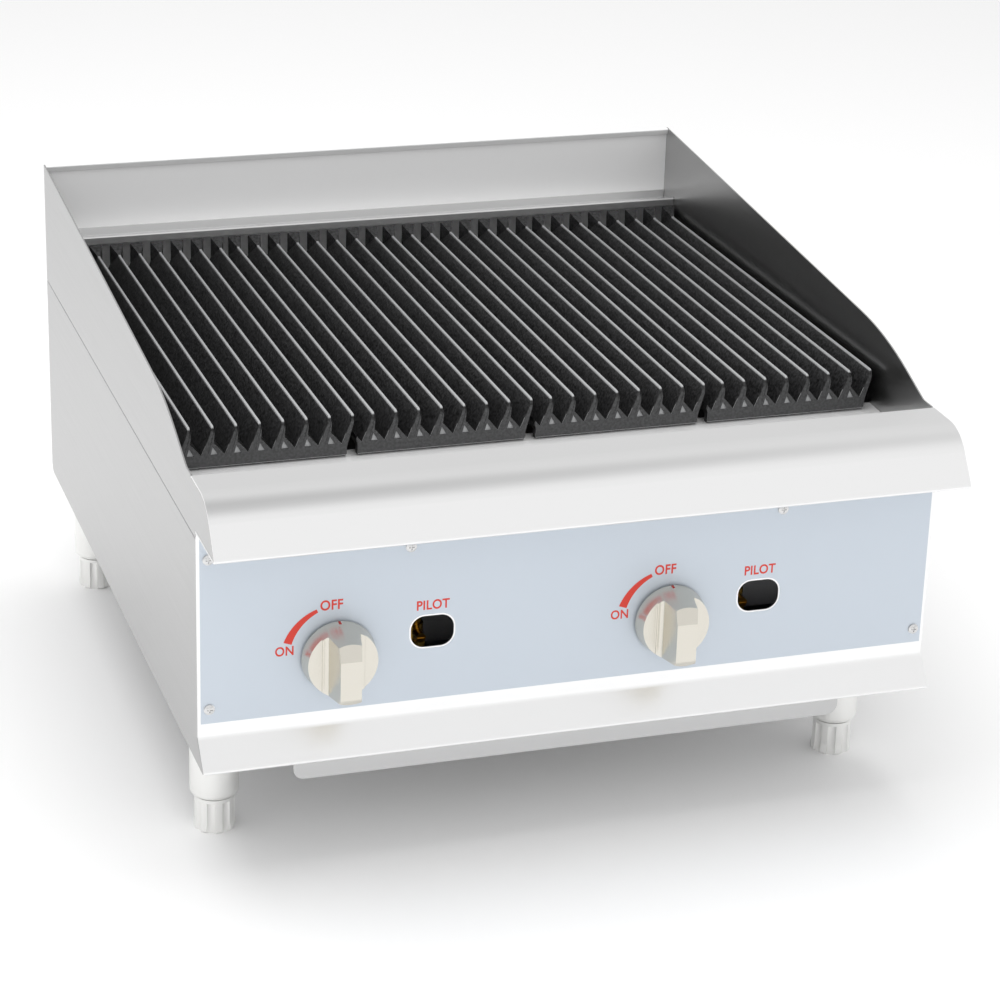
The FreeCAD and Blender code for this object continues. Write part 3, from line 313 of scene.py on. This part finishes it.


# ---- Cast grates -------------------------------------------------------------------------
# Grey iron, sand cast with a grainy black-oiled skin.  The tops of the bars are painted light
# grey: ground metal, and a painted highlight where they catch the light.  The small pockets at
# their front ends are painted the same grey as a painted highlight.

def ground_and_highlighted_casting(name, node, skin_colour, grain_colour, ground_and_highlight_grey, fall):
    """Sand-cast iron, lighter on the tips, which are ground and carry a painted highlight, and in
    the pockets at its front, where the grey is a painted highlight.
    The sand's grain is drawn 2.2 mm wide, several times coarser than it is, so that it shows."""
    sand_grain, sand_relief, relief_strength = 2.2 * MM, 0.5 * MM, 0.8
    dark_grain, light_grain = 0.38, 0.62
    patch_size = 14 * MM
    patch_low, patch_high = 0.3, 0.7
    oily, dry = 0.4, 0.56
    tip_band_top, tip_band_bottom = 0.35 * MM, 1.2 * MM
    unlightened_head_length = 15 * MM
    rear_tip_share = 0.55
    pocket_near, pocket_far = 1.0 * MM, 1.7 * MM
    wing_depth = 14 * MM
    end_near, end_far, end_lift = 0.8 * MM, 2.0 * MM, 0.1
    low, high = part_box(node)
    material, tree, output = start_material(name)
    place = add_node(tree, "ShaderNodeTexCoord").outputs["Object"]
    parts = add_node(tree, "ShaderNodeSeparateXYZ", {"Vector": place})
    # Height above the sloping line of the tips, whatever the distance from the front.
    slope = add_node(tree, "ShaderNodeVectorMath", {0: place, 1: (0, tan(fall), 1)},
                     operation="DOT_PRODUCT")
    tip_height = high.z + low.y * tan(fall)
    # The tips, lighter along the bars as far as the rising rear ends and less towards them:
    # ground metal, and a painted highlight where they catch the light.
    tips = add_node(tree, "ShaderNodeMapRange",
                    {"Value": slope.outputs["Value"], "From Min": tip_height - tip_band_bottom,
                     "From Max": tip_height - tip_band_top})
    before_heads = add_node(tree, "ShaderNodeMath",
                            {0: parts.outputs["Y"], 1: high.y - unlightened_head_length},
                            operation="LESS_THAN")
    ground_and_highlit_tips = add_node(tree, "ShaderNodeMath",
                         {0: tips.outputs["Result"], 1: before_heads.outputs[0]},
                         operation="MULTIPLY")
    tip_fade_to_rear = add_node(tree, "ShaderNodeMapRange",
                    {"Value": parts.outputs["Y"], "From Min": low.y, "From Max": high.y,
                     "To Min": 1.0, "To Max": rear_tip_share})
    bright_tips = add_node(tree, "ShaderNodeMath",
                           {0: ground_and_highlit_tips.outputs[0], 1: tip_fade_to_rear.outputs["Result"]},
                           operation="MULTIPLY")
    # The floor of each pocket, a thin slice behind the front face and below the wing, painted
    # light grey as a painted highlight for a face lit from above.
    past_front = add_node(tree, "ShaderNodeMath",
                          {0: parts.outputs["Y"], 1: low.y + pocket_near},
                          operation="GREATER_THAN")
    before_web = add_node(tree, "ShaderNodeMath",
                          {0: parts.outputs["Y"], 1: low.y + pocket_far},
                          operation="LESS_THAN")
    below_wing = add_node(tree, "ShaderNodeMath",
                          {0: slope.outputs["Value"], 1: tip_height - wing_depth},
                          operation="LESS_THAN")
    pocket_slice = add_node(tree, "ShaderNodeMath",
                            {0: past_front.outputs[0], 1: before_web.outputs[0]},
                            operation="MULTIPLY")
    pocket = add_node(tree, "ShaderNodeMath",
                      {0: pocket_slice.outputs[0], 1: below_wing.outputs[0]},
                      operation="MULTIPLY")
    # The front end faces are drawn a tenth of the way towards the light grey, fading out by 2 mm
    # behind the front.
    ends = add_node(tree, "ShaderNodeMapRange",
                    {"Value": parts.outputs["Y"], "From Min": low.y + end_near,
                     "From Max": low.y + end_far, "To Min": end_lift, "To Max": 0.0})
    tips_and_pockets = add_node(tree, "ShaderNodeMath",
                                {0: bright_tips.outputs[0], 1: pocket.outputs[0]},
                                operation="MAXIMUM")
    ground_and_highlight = add_node(tree, "ShaderNodeMath",
                      {0: tips_and_pockets.outputs[0], 1: ends.outputs["Result"]},
                      operation="MAXIMUM")
    sand = add_node(tree, "ShaderNodeTexNoise",
                    {"Vector": place, "Scale": 1 / sand_grain, "Detail": 3.0})
    patch = add_node(tree, "ShaderNodeTexNoise",
                     {"Vector": place, "Scale": 1 / patch_size, "Detail": 2.0})
    oil = add_node(tree, "ShaderNodeMapRange",
                   {"Value": patch.outputs["Fac"], "From Min": patch_low,
                    "From Max": patch_high, "To Min": oily, "To Max": dry})
    speckle = add_node(tree, "ShaderNodeMapRange",
                       {"Value": sand.outputs["Fac"], "From Min": dark_grain,
                        "From Max": light_grain})
    skin = add_node(tree, "ShaderNodeMix", {"Factor": speckle.outputs["Result"]},
                    data_type="RGBA")
    skin.inputs["A"].default_value = linear(skin_colour)
    skin.inputs["B"].default_value = linear(grain_colour)
    # The light grey is laid over the tips, the pockets and the front ends: ground metal and
    # painted highlight on the tips, painted highlight in the pockets.
    colour = add_node(tree, "ShaderNodeMix", {"Factor": ground_and_highlight.outputs[0]}, data_type="RGBA")
    tree.links.new(skin.outputs["Result"], colour.inputs["A"])
    colour.inputs["B"].default_value = linear(ground_and_highlight_grey)
    relief = add_node(tree, "ShaderNodeBump",
                      {"Height": sand.outputs["Fac"], "Strength": relief_strength,
                       "Distance": sand_relief})
    iron = add_node(tree, "ShaderNodeBsdfPrincipled",
                    {"Base Color": colour.outputs["Result"], "Metallic": 0.0,
                     "Specular IOR Level": 0.35,
                     "Roughness": oil.outputs["Result"], "Normal": relief.outputs["Normal"]})
    tree.links.new(iron.outputs["BSDF"], output.inputs["Surface"])
    return material


grate_fall = radians(0.95)
# The light grey stands for ground metal and painted highlight on the tips, and for painted
# highlight in the pockets.
grate_iron = ground_and_highlighted_casting("ground_cast_iron_with_painted_highlights", "grate_1", "#0E0E0E", "#343435", "#A9AAAB",
                            grate_fall)
coat(grate_iron, "grate_1", "grate_2", "grate_3", "grate_4")


# ---- Radiants ----------------------------------------------------------------------------
# Cast tents that sit over the burner tubes and turn their flame into radiant heat.

radiant_iron = plain("radiant_cast_iron", "#3A3836", 0.7)
for side in ("left", "right"):
    coat(radiant_iron, "radiant_" + side + "_inlet", "radiant_" + side + "_return")


# ---- Firebox, rests and rear panel -------------------------------------------------------
# Mill-finish steel sheet: liners, brackets and base pan.  The vented rear panel is finished
# above.

mill_steel = brushed_steel("mill_finish_steel", "#A8A8AA", 0.38, "Y")
coat(mill_steel, "firebox_left", "firebox_right", "firebox_front", "firebox_rear",
     "grate_rest_rear", "radiant_rest_front", "radiant_rest_rear", "burner_rest",
     "base_frame", "tray_runner_left", "tray_runner_right")


# ---- Burners and gas pipe ----------------------------------------------------------------
# Aluminised steel U-tubes with rotating air shutters, thin aluminium pilot tubes, and the
# black steel pipe that feeds the valves and leaves at the rear.

coat(plain("aluminised_steel", "#9A9A98", 0.42, metallic=1.0), "burner_left", "burner_right",
     "air_shutter_left", "air_shutter_right", "pilot_burner_left", "pilot_burner_right")
coat(plain("drawn_aluminium", "#C8C8C8", 0.3, metallic=1.0), "pilot_tube_left",
     "pilot_tube_right")
coat(plain("black_pipe_lacquer", "#1C1C1D", 0.45), "gas_manifold")


# ---- Drip tray ---------------------------------------------------------------------------
# Folded steel pan that hangs on its runners and pulls out to the front.  Its sheet is duller
# than the body's, with the grain across.

coat(brushed_steel("tray_steel", "#C2C2C2", 0.34, "X"), "drip_tray")


# ---- Legs and feet -----------------------------------------------------------------------
# Die-cast legs plated in satin nickel, with fluted feet that screw out to level the unit.

leg_metal = plain("satin_plated_leg", "#F2F2F0", 0.3, metallic=0.85)
for end in ("front", "rear"):
    for side in ("left", "right"):
        coat(leg_metal, "leg_" + end + "_" + side, "foot_" + end + "_" + side)


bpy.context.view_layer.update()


# ---- Floor, light and camera -------------------------------------------------------------
# A pale floor, one broad lamp overhead, a softer one from the front left, and a bright even
# surrounding for the steel to reflect.

floor_size = 24
bpy.ops.object.select_all(action="DESELECT")
bpy.ops.mesh.primitive_plane_add(size=floor_size, location=(0, 0, 0))
floor = bpy.context.object
floor.name = "floor"
floor.data.materials.append(plain("pale_floor", "#FCFCFC", 0.8, specular=0.1))


def soft_lamp(name, size, power, place):
    """A square lamp, unseen in reflections, turned towards the middle of the body."""
    body_middle = Vector((0, 0, 0.2))
    bpy.ops.object.light_add(type="AREA", location=place)
    lamp = bpy.context.object
    lamp.name = name
    lamp.data.size = size
    lamp.data.energy = power
    lamp.visible_glossy = False
    lamp.rotation_euler = (body_middle - Vector(place)).to_track_quat("-Z", "Y").to_euler()


soft_lamp("overhead_lamp", 2.4, 34, (-0.3, 0.0, 2.6))
soft_lamp("front_lamp", 1.8, 14, (-0.9, -3.2, 1.9))

# The room is brightest from a little above the floor to near the top, and dims to the rear.
room_levels = [(0.0, 0.86), (0.25, 0.97), (0.86, 0.97), (1.0, 0.5)]
front_gain, rear_gain = 1.06, 0.75
world = bpy.data.worlds.new("bright_room")
bpy.context.scene.world = world
world.use_nodes = True
room = world.node_tree
backdrop = room.nodes["Background"]
backdrop.inputs["Color"].default_value = linear("#FFFFFF")
direction = add_node(room, "ShaderNodeTexCoord")
aims = add_node(room, "ShaderNodeSeparateXYZ", {"Vector": direction.outputs["Generated"]})
by_height = add_node(room, "ShaderNodeValToRGB", {"Fac": aims.outputs["Z"]})
stops = by_height.color_ramp.elements
for height, level in room_levels[1:-1]:
    stops.new(height)
for stop, (height, level) in zip(stops, room_levels):
    stop.position = height
    stop.color = (level, level, level, 1)
by_side = add_node(room, "ShaderNodeMapRange",
                   {"Value": aims.outputs["Y"], "From Min": -1.0, "From Max": 1.0,
                    "To Min": front_gain, "To Max": rear_gain})
room_light = add_node(room, "ShaderNodeMath",
                      {0: by_height.outputs["Color"], 1: by_side.outputs["Result"]},
                      operation="MULTIPLY")
room.links.new(room_light.outputs[0], backdrop.inputs["Strength"])
bpy.context.scene.view_settings.view_transform = "Standard"

camera_place = (-0.7582, -2.34887, 1.20098)
azimuth = radians(18.63)
drop = radians(22.49)
roll = radians(1.81)
bpy.ops.object.camera_add(location=camera_place)
camera = bpy.context.object
aim = Euler((pi / 2 - drop, 0, -azimuth)).to_matrix() @ Euler((0, 0, roll)).to_matrix()
camera.rotation_euler = aim.to_euler()
camera.data.sensor_width = 36
camera.data.lens = 109.72
camera.data.shift_x = -0.00055
camera.data.shift_y = -0.003
bpy.context.scene.camera = camera
